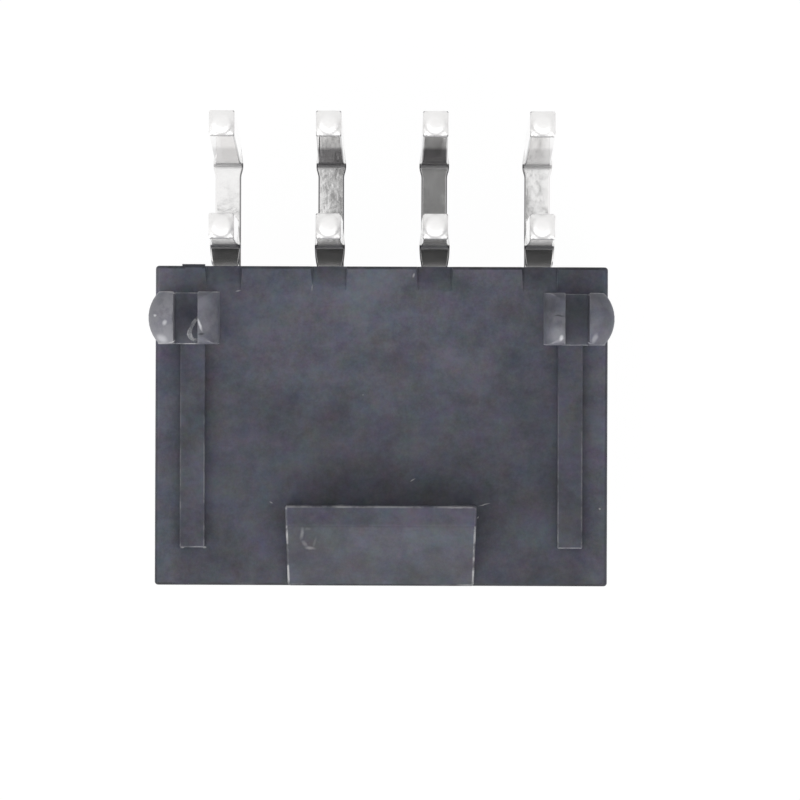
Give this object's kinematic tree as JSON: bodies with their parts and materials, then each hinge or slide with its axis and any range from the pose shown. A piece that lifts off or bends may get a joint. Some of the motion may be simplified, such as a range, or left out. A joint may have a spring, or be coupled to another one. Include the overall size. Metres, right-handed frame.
{
  "type": "right-angle pin header",
  "caption": "Right-angle shrouded power pin header with two rows of square contacts, a latch ramp, standoff ribs and split snap-in board pegs.",
  "frame": {"origin": "centre of the flat face that the header lies on, opposite its board side, midway between the mating face and the back face", "axes": "+Z from the flat face to the board side, the way the pegs and solder tails point; -Y out of the mating face; +X along the contact rows"},
  "size_m": [0.0184, 0.0187, 0.0136],
  "materials": {
    "housing_plastic": "dark grey satin moulded nylon with worn pale edges",
    "tinned_wire": "bright tin plating over brass wire"
  },
  "bodies": {
    "root": {"housing": "housing_plastic", "short_pin_1": "tinned_wire", "short_pin_2": "tinned_wire", "short_pin_3": "tinned_wire", "short_pin_4": "tinned_wire", "long_pin_1": "tinned_wire", "long_pin_2": "tinned_wire", "long_pin_3": "tinned_wire", "long_pin_4": "tinned_wire"}
  },
  "joints": []
}
